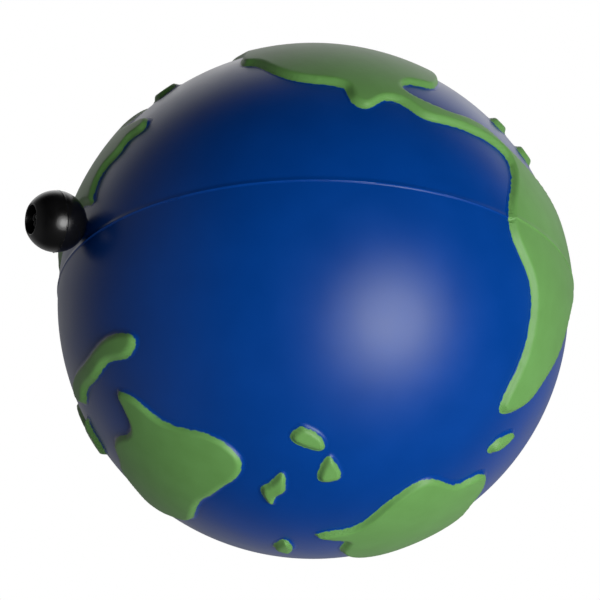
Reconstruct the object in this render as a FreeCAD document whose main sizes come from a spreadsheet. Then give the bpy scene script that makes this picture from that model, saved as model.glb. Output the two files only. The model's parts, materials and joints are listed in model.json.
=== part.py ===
import FreeCAD, Part

import math
import os
import re

import Sketcher

# A foam stress ball with a pull bead. The ball frame has its origin at the ball's centre, +Z up
# through the pole of the moulding seam, and the pull bead on the -X side. Every shaft inside
# the capsule is parallel to Y. All sizes are in millimetres and degrees.

doc = FreeCAD.newDocument("stress_ball")
sheet = doc.addObject("Spreadsheet::Sheet", "Sheet")

SIZES = {
    "ball_diameter": 70.0,      # over the smooth ocean skin
    "land_relief": 1.0,         # height of the lands over the ocean
    "seam_chamfer": 0.3,        # each side of the groove where the two halves meet
    "foam_gap": 0.25,           # moulding gap round the capsule
    "capsule_radius": 21.0,
    "capsule_wall": 1.6,
    "capsule_chamfer": 2.4,
    "inner_chamfer": 1.2,       # inside the capsule, clear of the rotor's weight
    "boss_radius": 2.2,         # screw bosses
    "boss_inset": 3.2,          # from the capsule's inner wall to a screw's axis
    "screw_diameter": 2.0,
    "screw_length": 14.0,
    "screw_head_diameter": 3.8,
    "screw_head_height": 1.2,
    "seat_gap": 0.02,           # radial, between pieces that don't move
    "running_gap": 0.05,        # radial and axial, between pieces that turn
    "cord_plane": 2.0,          # the cord leaves at y = -cord_plane, where the capsule splits
    "cord_diameter": 1.0,
    "cord_play": 0.3,           # radial, between the cord and its guide
    "pull_tilt": 9.2,           # the cord dips this much on its way out towards -X
    "bead_diameter": 8.0,
    "bead_press": 0.06,         # how far the bead is pulled into the skin
    "bead_bore": 1.3,
    "bead_pocket": 3.7,         # diameter of the pocket that hides the knot
    "bead_pocket_depth": 3.0,
    "knot_diameter": 2.6,
    "knot_length": 2.1,
    "guide_radius": 1.4,
    "guide_flange_radius": 2.4,
    "guide_flange_thick": 0.9,
    "guide_recess": 1.4,        # from the skin down to the guide's mouth
    "drum_x": 7.0,
    "drum_z": 1.42,
    "core_radius": 7.7,         # the cord is wound on this
    "barrel_wall": 0.8,
    "flange_rise": 2.1,
    "flange_thick": 0.8,
    "winding_width": 5.5,
    "winding_gap": 0.2,
    "cover_thick": 0.8,
    "arbor_diameter": 2.5,
    "arbor_seat": 4.0,          # how deep the arbor stands in the lid's boss
    "washer_thick": 0.25,
    "washer_radius": 1.8,
    "spring_strip": 0.2,
    "spring_turns": 8.0,
    "gear_module": 0.5,
    "drum_teeth": 38.0,
    "wheel_teeth": 32.0,
    "pinion_teeth": 10.0,
    "tooth_shift": 0.4,         # added to the pinions, taken from the wheels
    "mesh_gap": 0.05,           # added to each pair's centre distance
    "drum_gear_width": 2.5,
    "wheel_width": 2.0,
    "idler_angle": 200.0,       # from the drum's axis, in the X-Z plane
    "rotor_angle": -60.0,       # from the idler's axis, in the X-Z plane
    "pin_diameter": 1.5,        # idler pin and rotor shaft
    "post_radius": 1.9,         # posts that hold the idler pin
    "weight_radius": 7.0,
    "weight_height": 4.5,
    "weight_hub_radius": 1.8,
    "bush_radius": 1.6,
    "bush_length": 1.6,
    "bush_boss_rise": 0.9,
    "bush_boss_radius": 2.6,
    "floor_room": 1.05,         # between the drum's washer and the capsule's floor
    "idler_room": 0.2,          # between the drum's flange and the idler
    "wheel_room": 0.8,          # between the drum's gear and the idler's wheel
    "weight_room": 1.0,         # between the idler's wheel and the rotor's weight
    "ceiling_room": 0.3,        # between the rotor's weight and its bush's boss
    "guide_overlap": 0.1,       # the guide's flanges stand off the capsule's curved wall
    "collar_gap": 0.2,          # radial and axial, foam round the guide's flange
    "channel_gap": 0.1,         # radial, foam round the guide
    "seat_room": 0.3,           # radial, foam round the bead
    "screw_gap": 0.1,           # radial and axial, round the screws
    "boss_wall": 1.2,           # plastic round the arbor
    "arbor_bed": 0.9,           # how deep the arbor stands in the base
    "arbor_end_gap": 0.2,
    "washer_trim": 0.75,        # washers are this much smaller than the bore plus their radius
    "spring_room": 0.15,        # between the spring and the drum
    "slot_end_room": 0.1,
    "slot_side_room": 0.05,
    "cut_past": 0.1,
    "anchor_gap": 0.3,
    "anchor_bearing": 250,
    "anchor_knot_radius": 0.9,
    "anchor_knot_length": 0.8,
    "anchor_knot_round": 0.25,
    "winding_gap": 0.05,
    "pinion_overlap": 0.2,
    "knot_gap": 0.05,
    "knot_round": 0.45,
    "stub_extra": 0.15,         # the straight that leaves the coil is this much past the tangent
    "pin_in_base": 4.8,
    "pin_in_lid": 4.0,
    "shaft_end_gap": 0.1,
    "spring_inner_gap": 0.15,
    "spring_outer_gap": 0.02,
    "screw_drive_deep": 0.5,
    "screw_head_round": 0.35,
    "screw_tip": 0.8,
    "guide_round": 0.3,
}
for row, (alias, size) in enumerate(SIZES.items(), start=1):
    sheet.set(f"A{row}", alias)
    sheet.set(f"B{row}", str(size))
    sheet.setAlias(f"B{row}", alias)
doc.recompute()


def bound(text):
    """An expression in the sheet's aliases, each of which has an underscore."""
    return re.sub(r"[a-z]+(?:_[a-z]+)+", r"Sheet.\g<0>", str(text))


def value(text):
    """The number that an expression gives now."""
    return float(sheet.evalExpression(bound(text)))


# Places along Y, stacked outwards from the cord's plane.
GROOVE_TOP = "(-cord_plane + cord_diameter / 2 + winding_gap)"
GROOVE_LOW = f"({GROOVE_TOP} - winding_width)"
DRUM_TOP = f"({GROOVE_TOP} + flange_thick)"
DRUM_LOW = f"({GROOVE_LOW} - flange_thick)"
WASHER_SPACE = "(washer_thick + 2 * running_gap)"
GEAR_TOP = f"({DRUM_TOP} + drum_gear_width)"
FLOOR = f"({DRUM_LOW} - {WASHER_SPACE} - floor_room)"
IDLER_LOW = f"({DRUM_TOP} + idler_room)"
WHEEL_LOW = f"({GEAR_TOP} + wheel_room)"
WHEEL_TOP = f"({WHEEL_LOW} + wheel_width)"
WEIGHT_LOW = f"({WHEEL_TOP} + weight_room)"
WEIGHT_TOP = f"({WEIGHT_LOW} + weight_height)"
CEILING = f"({WEIGHT_TOP} + ceiling_room + bush_boss_rise)"
OUTER_LOW = f"({FLOOR} - capsule_wall)"
OUTER_HIGH = f"({CEILING} + capsule_wall)"
SPLIT = "(-cord_plane)"

# Axes of the drum, the idler and the rotor in the X-Z plane.
INNER_RADIUS = "(capsule_radius - capsule_wall)"
BARREL_RADIUS = "(core_radius - barrel_wall)"
FLANGE_RADIUS = "(core_radius + flange_rise)"
FIRST_CENTRES = "(gear_module * (drum_teeth + pinion_teeth) / 2 + mesh_gap)"
SECOND_CENTRES = "(gear_module * (wheel_teeth + pinion_teeth) / 2 + mesh_gap)"
DRUM = ("drum_x", "drum_z")
IDLER = (
    f"(drum_x + {FIRST_CENTRES} * cos(idler_angle))",
    f"(drum_z + {FIRST_CENTRES} * sin(idler_angle))",
)
ROTOR = (
    f"({IDLER[0]} + {SECOND_CENTRES} * cos(rotor_angle))",
    f"({IDLER[1]} + {SECOND_CENTRES} * sin(rotor_angle))",
)
BOSS_RING = f"({INNER_RADIUS} - boss_inset)"
SCREWS = [(f"({BOSS_RING} * cos({a}))", f"({BOSS_RING} * sin({a}))") for a in (132, 72, -36.5, 214)]

# The pull line runs from the top of the drum to the bead. Distances along it are counted from
# the point nearest the ball's centre.
PULL_OFFSET = "(drum_z * cos(pull_tilt) - drum_x * sin(pull_tilt) + core_radius + cord_diameter / 2)"
LEAVES_DRUM = "(-drum_x * cos(pull_tilt) - drum_z * sin(pull_tilt))"
STUB = "(sqrt((core_radius + cord_diameter) ^ 2 - core_radius ^ 2) + stub_extra)"
SKIN_EXIT = f"sqrt((ball_diameter / 2) ^ 2 - cord_plane ^ 2 - {PULL_OFFSET} ^ 2)"
BEAD_REACH = "(ball_diameter / 2 + bead_diameter / 2 - bead_press)"
BEAD_AT = f"sqrt({BEAD_REACH} ^ 2 - cord_plane ^ 2 - {PULL_OFFSET} ^ 2)"
POCKET_FLOOR = f"({BEAD_AT} + bead_diameter / 2 - bead_pocket_depth)"
GUIDE_IN = f"(sqrt({INNER_RADIUS} ^ 2 - ({PULL_OFFSET} + guide_flange_radius) ^ 2) - guide_overlap)"
GUIDE_OUT = f"(sqrt(capsule_radius ^ 2 - ({PULL_OFFSET} - guide_flange_radius) ^ 2) + guide_overlap)"
GUIDE_END = f"({SKIN_EXIT} - guide_recess)"


def place(thing, x, y, z, axis=(0, 0, 1), angle=0):
    """Bind where a piece stands, and turn it about the axis."""
    turn = FreeCAD.Rotation(FreeCAD.Vector(*axis), angle)
    thing.Placement = FreeCAD.Placement(FreeCAD.Vector(value(x), value(y), value(z)), turn)
    for name, text in (("x", x), ("y", y), ("z", z)):
        thing.setExpression(f"Placement.Base.{name}", bound(text))
    return thing


def on_shaft(thing, centre, low="0"):
    """Stand a piece's own Z axis along the ball's Y axis, at one of the shafts."""
    return place(thing, centre[0], low, centre[1], (1, 0, 0), -90)


def on_pull_line(thing, along):
    """Lay a piece's own Z axis along the pull line, pointing out of the ball."""
    x = f"-sin(pull_tilt) * {PULL_OFFSET} - cos(pull_tilt) * ({along})"
    z = f"cos(pull_tilt) * {PULL_OFFSET} - sin(pull_tilt) * ({along})"
    return place(thing, x, SPLIT, z, (0, -1, 0), 90 + value("pull_tilt"))


def lathe(label, corners):
    """A turned piece: its half section's corners are (radius, height) expressions."""
    body = doc.addObject("PartDesign::Body", label)
    sketch = body.newObject("Sketcher::SketchObject", label + "_section")
    planes = [p for p in body.Origin.OriginFeatures if p.Role == "XZ_Plane"]
    sketch.AttachmentSupport = [(planes[0], "")]
    sketch.MapMode = "FlatFace"
    points = [FreeCAD.Vector(value(r), value(h), 0) for r, h in corners]
    count = len(points)
    for i in range(count):
        sketch.addGeometry(Part.LineSegment(points[i], points[(i + 1) % count]), False)
    for i in range(count):
        sketch.addConstraint(Sketcher.Constraint("Coincident", i, 2, (i + 1) % count, 1))
    for i, corner in enumerate(corners):
        for kind, text in zip(("DistanceX", "DistanceY"), corner):
            size = value(text)
            index = sketch.addConstraint(Sketcher.Constraint(kind, -1, 1, i, 1, size))
            name = f"{kind.lower()}_{i}"
            sketch.renameConstraint(index, name)
            sketch.setExpression("Constraints." + name, bound(text))
    turned = body.newObject("PartDesign::Revolution", label + "_turned")
    turned.Profile = sketch
    turned.ReferenceAxis = (sketch, ["V_Axis"])
    turned.Angle = 360
    return body


def ring(label, inner, outer, low, high):
    """A turned piece with a square section; an inner radius of 0 makes a pin."""
    return lathe(label, [(inner, low), (outer, low), (outer, high), (inner, high)])


def cylinder(name, radius, height):
    made = doc.addObject("Part::Cylinder", name)
    made.setExpression("Radius", bound(radius))
    made.setExpression("Height", bound(height))
    return made


def shaft_cylinder(name, radius, centre, low, high):
    """A cylinder parallel to Y, from y = low to y = high."""
    return on_shaft(cylinder(name, radius, f"({high}) - ({low})"), centre, low)


def pull_cylinder(name, radius, start, end):
    """A cylinder along the pull line."""
    return on_pull_line(cylinder(name, radius, f"({end}) - ({start})"), start)


def fuse(name, pieces):
    made = doc.addObject("Part::MultiFuse", name)
    made.Shapes = pieces
    return made


def cut(name, base, tools):
    made = doc.addObject("Part::Cut", name)
    made.Base = base
    made.Tool = fuse(name + "_tools", tools) if len(tools) > 1 else tools[0]
    return made


# ---------------------------------------------------------------- foam halves
def foam_half(label, north):
    """Half of the ball, hollowed for the capsule, the cord guide and the bead's seat."""
    dome = doc.addObject("Part::Sphere", label + "_dome")
    dome.setExpression("Radius", bound("ball_diameter / 2"))
    dome.Angle1 = 0 if north else -90
    dome.Angle2 = 90 if north else 0
    lip = doc.addObject("Part::Cone", label + "_lip")
    lip.setExpression("Radius1", bound("ball_diameter / 2 - seam_chamfer"))
    lip.setExpression("Radius2", bound("ball_diameter - seam_chamfer"))
    lip.setExpression("Height", bound("ball_diameter / 2"))
    place(lip, "0", "0", "0", (1, 0, 0), 0 if north else 180)
    chamfered = doc.addObject("Part::Common", label + "_chamfered")
    chamfered.Base = dome
    chamfered.Tool = lip
    wide = "(capsule_radius + foam_gap)"
    low = f"({OUTER_LOW} - foam_gap)"
    high = f"({OUTER_HIGH} + foam_gap)"
    cavity = lathe(label + "_cavity", [
        ("0", low), (f"{wide} - capsule_chamfer", low), (wide, f"{low} + capsule_chamfer"),
        (wide, f"{high} - capsule_chamfer"), (f"{wide} - capsule_chamfer", high), ("0", high)])
    on_shaft(cavity, ("0", "0"))
    collar = pull_cylinder(label + "_collar", "guide_flange_radius + collar_gap", "5",
                           f"{GUIDE_OUT} + guide_flange_thick + collar_gap")
    channel = pull_cylinder(label + "_channel", "guide_radius + channel_gap", "5", "ball_diameter / 2 + 2")
    seat = doc.addObject("Part::Sphere", label + "_seat")
    seat.setExpression("Radius", bound("bead_diameter / 2 + seat_room"))
    on_pull_line(seat, BEAD_AT)
    return cut(label, chamfered, [cavity, collar, channel, seat])


# ---------------------------------------------------------------- raised lands
# Each outline is a closed ring of (latitude, longitude) in whole degrees about the ball's Z axis.
LANDS = {
    "australia": [
        (-34, -175), (-38, -170), (-43, -166), (-47, -158), (-50, -151), (-54, -147), (-57, -147),
        (-60, -153), (-61, -161), (-62, -172), (-62, 179), (-63, 162), (-62, 152), (-58, 146),
        (-55, 143), (-51, 143), (-48, 149), (-44, 156), (-43, 162), (-41, 166), (-41, 172),
        (-42, 177), (-41, -179), (-37, -177)],
    "new_guinea": [
        (-24, -165), (-26, -163), (-28, -167), (-27, -174), (-28, 178), (-28, 169), (-29, 163),
        (-26, 160), (-24, 164), (-24, 171), (-24, 178), (-23, -174)],
    "java": [
        (-31, 157), (-32, 154), (-35, 152), (-37, 148), (-35, 144), (-32, 145), (-30, 150)],
    "borneo": [(-20, 140), (-22, 136), (-26, 134), (-30, 137), (-29, 141), (-25, 143)],
    "first_islet": [
        (-50, -122), (-51, -119), (-53, -116), (-55, -116), (-55, -119), (-54, -123), (-52, -126)],
    "second_islet": [
        (-57, -113), (-59, -110), (-62, -108), (-63, -111), (-63, -116), (-60, -116)],
    "third_islet": [
        (-61, -132), (-63, -132), (-66, -135), (-67, -140), (-69, -144), (-66, -145), (-64, -143),
        (-63, -138)],
    "polar_islet": [(-82, 162), (-83, -174), (-85, 166), (-85, 140), (-84, 127), (-82, 140)],
    "antarctica": [
        (-82, -114), (-80, -93), (-76, -77), (-69, -76), (-63, -74), (-58, -68), (-56, -52),
        (-52, -47), (-50, -42), (-52, -32), (-54, -26), (-55, -15), (-58, -4), (-62, 3),
        (-67, 12), (-74, 17), (-80, 14), (-84, -20), (-82, -58), (-83, -84)],
    "falkland": [(-46, -52), (-45, -49), (-42, -47), (-40, -47), (-41, -50), (-44, -53)],
    "americas": [
        (40, -137), (38, -133), (34, -129), (30, -124), (28, -118), (26, -111), (22, -110),
        (20, -107), (23, -103), (23, -98), (20, -94), (20, -87), (20, -79), (18, -71),
        (14, -70), (8, -72), (1, -74), (-5, -72), (-11, -66), (-19, -63), (-27, -62),
        (-35, -62), (-38, -60), (-34, -52), (-28, -49), (-21, -46), (-13, -44), (-7, -41),
        (-1, -35), (5, -33), (10, -39), (14, -50), (17, -61), (20, -69), (23, -75), (24, -81),
        (24, -89), (28, -97), (32, -94), (33, -88), (36, -84), (41, -80), (48, -75), (54, -67),
        (60, -57), (66, -54), (71, -64), (75, -82), (77, -105), (74, -130), (70, -150),
        (67, -166), (62, -162), (58, -150), (50, -142)],
    "great_isle": [(31, -63), (33, -64), (35, -61), (35, -58), (33, -57), (31, -60)],
    "lesser_isle": [(28, -56), (29, -53), (28, -50), (26, -50), (25, -53), (26, -56)],
    "north_isle": [(41, -172), (43, -173), (46, -171), (46, -167), (43, -167), (41, -169)],
    "greenland": [(84, 60), (86, 150), (80, 178), (75, 168), (72, 147), (75, 125), (80, 95)],
    "britain": [(65, 57), (68, 54), (71, 58), (70, 65), (67, 66)],
    "madagascar": [(-14, 70), (-17, 70), (-22, 66), (-27, 60), (-26, 57), (-21, 61), (-17, 65)],
    "eurasia": [
        (10, -174), (15, -174), (18, -172), (20, -168), (23, -166), (24, -162), (27, -162),
        (29, -170), (34, -178), (42, 178), (50, 170), (53, 158), (55, 142), (54, 125),
        (57, 110), (62, 98), (64, 83), (60, 72), (58, 61), (60, 50), (58, 39), (54, 37),
        (52, 46), (49, 55), (44, 60), (40, 66), (35, 72), (28, 74), (19, 77), (12, 83),
        (15, 89), (11, 93), (4, 96), (-5, 97), (-8, 101), (-4, 108), (0, 114), (-5, 120),
        (-12, 121), (-19, 124), (-20, 128), (-14, 131), (-9, 134), (0, 141), (7, 150),
        (9, 169), (11, -179)],
    "africa": [
        (49, 29), (43, 18), (37, 12), (29, 12), (23, 18), (18, 26), (12, 33), (5, 34), (-2, 30),
        (-11, 27), (-19, 26), (-25, 30), (-25, 38), (-20, 47), (-14, 56), (-8, 62), (-2, 69),
        (4, 76), (8, 76), (14, 71), (22, 67), (30, 66), (34, 62), (38, 56), (43, 48), (47, 38)],
}


def direction(latitude, longitude):
    """The unit vector that points at a place on the ball."""
    a = math.radians(latitude)
    o = math.radians(longitude)
    return FreeCAD.Vector(math.cos(a) * math.cos(o), math.cos(a) * math.sin(o), math.sin(a))


def outline_at(places, radius):
    """A closed smooth curve through the places, on a sphere of this radius, cut into spans."""
    points = [direction(*p) for p in places]
    steps = [0.0]
    for i, point in enumerate(points):
        steps.append(steps[-1] + math.sqrt(point.distanceToPoint(points[(i + 1) % len(points)])))
    curve = Part.BSplineCurve()
    curve.interpolate(Points=[p * radius for p in points], PeriodicFlag=True, Parameters=steps)
    ends = steps[:-1:2] + steps[-1:]
    return Part.Wire([Part.Edge(curve, ends[i], ends[i + 1]) for i in range(len(ends) - 1)])


def raised_land(places, inner, outer):
    """The piece of the spherical shell that lies inside one outline."""
    centre = FreeCAD.Vector(0, 0, 0)
    for p in places:
        centre = centre + direction(*p)
    centre.normalize()
    # The shell's own poles and seam are turned well away from the land.
    turn = FreeCAD.Rotation(FreeCAD.Vector(-1, 0, 0), centre)
    shell = Part.makeSphere(outer).cut(Part.makeSphere(inner))
    shell.Placement = FreeCAD.Placement(FreeCAD.Vector(0, 0, 0), turn)
    wall = Part.makeRuledSurface(outline_at(places, inner - 3), outline_at(places, outer + 3))
    pieces = shell.generalFuse([wall])[0].Solids
    return min(pieces, key=lambda solid: solid.Volume)


def lands(label, north):
    """The lands of one half, which stop at the seam with the same chamfer as the foam."""
    inner = value("ball_diameter / 2")
    outer = value("ball_diameter / 2 + land_relief")
    edge = outer - value("seam_chamfer")
    half = Part.makeCone(edge, edge + 2 * outer, 2 * outer)
    if not north:
        half = half.mirror(FreeCAD.Vector(0, 0, 0), FreeCAD.Vector(0, 0, 1))
    solids = []
    for places in LANDS.values():
        solids += raised_land(places, inner, outer).common(half).Solids
    made = doc.addObject("Part::Feature", label)
    made.Shape = Part.makeCompound([s for s in solids if s.Volume > 0.01])
    made.Placement = FreeCAD.Placement()
    return made


# ---------------------------------------------------------------- capsule
def capsule_base():
    """The half of the capsule that carries the arbor, the idler pin and the screws' heads."""
    skirt = f"({INNER_RADIUS} - inner_chamfer)"
    shell = lathe("base_shell", [
        ("0", OUTER_LOW), ("capsule_radius - capsule_chamfer", OUTER_LOW),
        ("capsule_radius", f"{OUTER_LOW} + capsule_chamfer"), ("capsule_radius", SPLIT),
        (INNER_RADIUS, SPLIT), (INNER_RADIUS, f"{FLOOR} + inner_chamfer"),
        (skirt, FLOOR), ("0", FLOOR)])
    on_shaft(shell, ("0", "0"))
    solid = [shell]
    hollow = []
    for i, centre in enumerate(SCREWS, start=1):
        solid.append(shaft_cylinder(f"base_boss_{i}", "boss_radius", centre, OUTER_LOW, SPLIT))
        hollow.append(shaft_cylinder(f"base_way_{i}", "screw_diameter / 2 + screw_gap", centre,
                                     OUTER_LOW, SPLIT))
        hollow.append(shaft_cylinder(f"base_sink_{i}", "screw_head_diameter / 2 + screw_gap", centre,
                                     OUTER_LOW, f"{OUTER_LOW} + screw_head_height + screw_gap"))
    solid.append(shaft_cylinder("base_arbor_boss", "arbor_diameter / 2 + boss_wall", DRUM, OUTER_LOW,
                                f"{DRUM_LOW} - {WASHER_SPACE}"))
    solid.append(shaft_cylinder("base_post", "post_radius", IDLER, OUTER_LOW,
                                f"{IDLER_LOW} - {WASHER_SPACE}"))
    solid.append(shaft_cylinder("base_bush_boss", "bush_boss_radius", ROTOR, OUTER_LOW,
                                f"{FLOOR} + bush_boss_rise"))
    hollow.append(shaft_cylinder("base_arbor_seat", "arbor_diameter / 2 + seat_gap", DRUM,
                                 f"{FLOOR} - arbor_bed", "0"))
    hollow.append(shaft_cylinder("base_pin_seat", "pin_diameter / 2 + seat_gap", IDLER,
                                 f"{IDLER_LOW} - {WASHER_SPACE} - 5", "0"))
    hollow.append(shaft_cylinder("base_bush_seat", "bush_radius + seat_gap", ROTOR,
                                 f"{FLOOR} + bush_boss_rise - bush_length", "0"))
    hollow.append(pull_cylinder("base_guide_seat", "guide_radius + seat_gap", "5",
                                "capsule_radius + 5"))
    return cut("capsule_base", fuse("base_solid", solid), hollow)


def capsule_lid():
    """The half of the capsule that the screws bite into."""
    skirt = f"({INNER_RADIUS} - inner_chamfer)"
    shell = lathe("lid_shell", [
        ("0", CEILING), (skirt, CEILING), (INNER_RADIUS, f"{CEILING} - inner_chamfer"),
        (INNER_RADIUS, SPLIT), ("capsule_radius", SPLIT),
        ("capsule_radius", f"{OUTER_HIGH} - capsule_chamfer"),
        ("capsule_radius - capsule_chamfer", OUTER_HIGH), ("0", OUTER_HIGH)])
    on_shaft(shell, ("0", "0"))
    solid = [shell]
    hollow = []
    for i, centre in enumerate(SCREWS, start=1):
        solid.append(shaft_cylinder(f"lid_boss_{i}", "boss_radius", centre, SPLIT, OUTER_HIGH))
        hollow.append(shaft_cylinder(f"lid_thread_{i}", "screw_diameter / 2 + seat_gap", centre,
                                     SPLIT, f"{OUTER_LOW} + screw_length + screw_head_height + 1"))
    arbor_face = f"({GEAR_TOP} + {WASHER_SPACE})"
    pin_face = f"({WHEEL_TOP} + {WASHER_SPACE})"
    bush_face = f"({CEILING} - bush_boss_rise)"
    solid.append(shaft_cylinder("lid_arbor_boss", "arbor_diameter / 2 + boss_wall", DRUM, arbor_face,
                                OUTER_HIGH))
    solid.append(shaft_cylinder("lid_post", "post_radius", IDLER, pin_face, OUTER_HIGH))
    solid.append(shaft_cylinder("lid_bush_boss", "bush_boss_radius", ROTOR, bush_face, OUTER_HIGH))
    hollow.append(shaft_cylinder("lid_arbor_seat", "arbor_diameter / 2 + seat_gap", DRUM, "0",
                                 f"{arbor_face} + arbor_seat + arbor_end_gap"))
    hollow.append(shaft_cylinder("lid_pin_seat", "pin_diameter / 2 + seat_gap", IDLER, "0",
                                 f"{pin_face} + pin_in_lid + arbor_end_gap"))
    hollow.append(shaft_cylinder("lid_bush_seat", "bush_radius + seat_gap", ROTOR, "0",
                                 f"{bush_face} + bush_length"))
    hollow.append(pull_cylinder("lid_guide_seat", "guide_radius + seat_gap", "5",
                                "capsule_radius + 5"))
    return cut("capsule_lid", fuse("lid_solid", solid), hollow)


def screw(label, centre):
    """A pan-head screw; its head sits in the base and its shank runs into the lid."""
    head = "screw_head_diameter / 2"
    shank = "screw_diameter / 2"
    drive = "0.6"
    made = lathe(label, [
        ("0", "screw_drive_deep"), (drive, "0"), (f"{head} - screw_head_round", "0"),
        (head, "screw_head_round"),
        (head, "screw_head_height"), (shank, "screw_head_height"),
        (shank, "screw_head_height + screw_length - screw_tip"),
        ("0.3", "screw_head_height + screw_length"), ("0", "screw_head_height + screw_length")])
    return on_shaft(made, centre, f"{OUTER_LOW} + screw_gap")


def cord_guide():
    """A spool clamped in the capsule's split; its tube leads the cord to the skin."""
    bore = "cord_diameter / 2 + cord_play"
    made = lathe("cord_guide", [
        (f"{bore} + guide_round", f"{GUIDE_IN} - guide_flange_thick"),
        ("guide_flange_radius", f"{GUIDE_IN} - guide_flange_thick"),
        ("guide_flange_radius", GUIDE_IN), ("guide_radius", GUIDE_IN), ("guide_radius", GUIDE_OUT),
        ("guide_flange_radius", GUIDE_OUT),
        ("guide_flange_radius", f"{GUIDE_OUT} + guide_flange_thick"),
        ("guide_radius", f"{GUIDE_OUT} + guide_flange_thick"), ("guide_radius", GUIDE_END),
        (f"{bore} + guide_round", GUIDE_END), (bore, f"{GUIDE_END} - guide_round"),
        (bore, f"{GUIDE_IN} - guide_flange_thick + guide_round")])
    return on_pull_line(made, "0")


# ---------------------------------------------------------------- drum
SPRING_LOW = f"({DRUM_LOW} + cover_thick + spring_room)"
SPRING_HIGH = f"({GROOVE_TOP} - spring_room)"
SPRING_ROOM = f"({SPRING_HIGH} - {SPRING_LOW})"


def drum_arbor():
    """The fixed steel arbor, slotted where the mainspring's inner end hooks in."""
    low = f"({FLOOR} - arbor_bed)"
    high = f"({GEAR_TOP} + {WASHER_SPACE} + arbor_seat)"
    rod = ring("arbor_rod", "0", "arbor_diameter / 2", low, high)
    on_shaft(rod, DRUM)
    slot = doc.addObject("Part::Box", "arbor_slot")
    slot.setExpression("Length", bound("arbor_diameter"))
    slot.setExpression("Width", bound(f"{SPRING_ROOM} + 2 * slot_end_room"))
    slot.setExpression("Height", bound("spring_strip + 2 * slot_side_room"))
    place(slot, "drum_x - arbor_diameter / 8", f"{SPRING_LOW} - slot_end_room",
          "drum_z - spring_strip / 2 - slot_side_room")
    return cut("drum_arbor", rod, [slot])


def cord_drum():
    """The flanged drum; its hollow side is the barrel that holds the mainspring."""
    bore = "(arbor_diameter / 2 + running_gap)"
    turned = lathe("drum_turned", [
        (BARREL_RADIUS, DRUM_LOW), (FLANGE_RADIUS, DRUM_LOW), (FLANGE_RADIUS, GROOVE_LOW),
        ("core_radius", GROOVE_LOW), ("core_radius", GROOVE_TOP), (FLANGE_RADIUS, GROOVE_TOP),
        (FLANGE_RADIUS, DRUM_TOP), (bore, DRUM_TOP), (bore, GROOVE_TOP),
        (BARREL_RADIUS, GROOVE_TOP)])
    on_shaft(turned, DRUM)
    hole = shaft_cylinder("drum_anchor_hole", "cord_diameter / 2", ANCHOR,
                          f"{DRUM_LOW} - cut_past", f"{GROOVE_LOW} + cut_past")
    return cut("cord_drum", turned, [hole])


ANCHOR = (
    "(drum_x + (core_radius + cord_diameter / 2 + anchor_gap) * cos(anchor_bearing))",
    "(drum_z + (core_radius + cord_diameter / 2 + anchor_gap) * sin(anchor_bearing))",
)


def cord_anchor_knot():
    """The cord's inner end: a stem through the flange, knotted on its outer face."""
    shoulder = "(anchor_knot_radius - anchor_knot_round)"
    stem_top = "(anchor_knot_length + flange_thick)"
    made = lathe("cord_anchor_knot", [
        ("0", "0"), (shoulder, "0"), ("anchor_knot_radius", "anchor_knot_round"),
        ("anchor_knot_radius", "anchor_knot_length - anchor_knot_round"),
        (shoulder, "anchor_knot_length"), ("cord_diameter / 2", "anchor_knot_length"),
        ("cord_diameter / 2", stem_top), ("0", stem_top)])
    return on_shaft(made, ANCHOR, f"{DRUM_LOW} - anchor_knot_length")


def cord_winding():
    """The wound cord's outer shape, with the short straight that leaves the coil."""
    coil = ring("winding_coil", "core_radius", "core_radius + cord_diameter",
                f"{GROOVE_LOW} + winding_gap", "-cord_plane + cord_diameter / 2")
    on_shaft(coil, DRUM)
    stub = pull_cylinder("winding_stub", "cord_diameter / 2", LEAVES_DRUM,
                         f"{LEAVES_DRUM} + {STUB}")
    return fuse("cord_winding", [coil, stub])


def mainspring():
    """A spiral of half turns from the arbor's slot out to the barrel's wall."""
    strip = value("spring_strip")
    height = value(SPRING_ROOM)
    first = value("arbor_diameter / 2 + spring_inner_gap + spring_strip / 2")
    last = value(f"{BARREL_RADIUS} - spring_strip / 2 - spring_outer_gap")
    halves = int(2 * value("spring_turns"))
    rise = (last - first) / halves
    pieces = [Part.makeBox(first + strip / 2 - 0.4, strip, height,
                           FreeCAD.Vector(0.4, -strip / 2, 0))]
    for k in range(halves):
        side = 1 if k % 2 == 0 else -1
        radius = first + (k + 0.5) * rise
        centre = FreeCAD.Vector(-side * rise / 2, 0, 0)
        outer = Part.makeCylinder(radius + strip / 2, height, centre, FreeCAD.Vector(0, 0, 1), 180)
        inner = Part.makeCylinder(radius - strip / 2, height, centre, FreeCAD.Vector(0, 0, 1), 180)
        piece = outer.cut(inner)
        if side < 0:
            piece.rotate(centre, FreeCAD.Vector(0, 0, 1), 180)
        pieces.append(piece)
    made = doc.addObject("Part::Feature", "mainspring")
    made.Shape = pieces[0].multiFuse(pieces[1:]).removeSplitter()
    return on_shaft(made, DRUM, SPRING_LOW)


# ---------------------------------------------------------------- gears
def tooth_flank(teeth, shift, phase, side):
    """One involute flank of a tooth centred on the phase angle, from its root to its tip."""
    module = value("gear_module")
    pressure = math.radians(20)
    base = module * teeth * math.cos(pressure) / 2
    tip = module * (teeth / 2 + 1 + shift)
    root = module * (teeth / 2 - 1.25 + shift)
    thinning = 0.02 / (module * teeth)
    half_tooth = (math.pi / 2 + 2 * shift * math.tan(pressure)) / teeth - thinning
    at_base = half_tooth + math.tan(pressure) - pressure
    start = max(base, root)
    points = []
    for k in range(6):
        radius = start + (tip - start) * (k / 5) ** 1.5
        roll = math.acos(min(1.0, base / radius))
        angle = phase + side * (at_base - math.tan(roll) + roll)
        points.append(FreeCAD.Vector(radius * math.cos(angle), radius * math.sin(angle), 0))
    foot_angle = phase + side * at_base
    foot = FreeCAD.Vector(root * math.cos(foot_angle), root * math.sin(foot_angle), 0)
    return foot, points


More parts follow.
